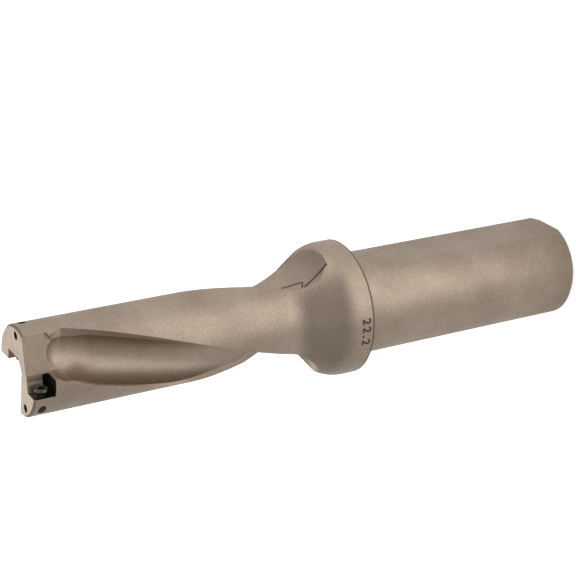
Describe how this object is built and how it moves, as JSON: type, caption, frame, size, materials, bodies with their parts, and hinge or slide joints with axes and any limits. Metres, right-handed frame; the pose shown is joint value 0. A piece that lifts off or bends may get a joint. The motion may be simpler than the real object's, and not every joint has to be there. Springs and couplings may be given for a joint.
{
  "type": "indexable drill",
  "caption": "Indexable insert drill body with helical flutes, a shoulder flange, a flatted cylindrical shank and empty insert pockets that still hold their screws.",
  "frame": {"origin": "centre of the shank's end face, on which the drill stands", "axes": "+Z along the drill's axis from the shank to the cutting end, +Y square to the clamping flat, +X out through the outer insert pocket"},
  "size_m": [0.0332, 0.0332, 0.1476],
  "materials": {
    "plated_steel": "satin",
    "screw_steel": "satin"
  },
  "bodies": {
    "root": {"drill_body": "plated_steel", "outer_insert_screw": "screw_steel", "inner_insert_screw": "screw_steel"}
  },
  "joints": []
}
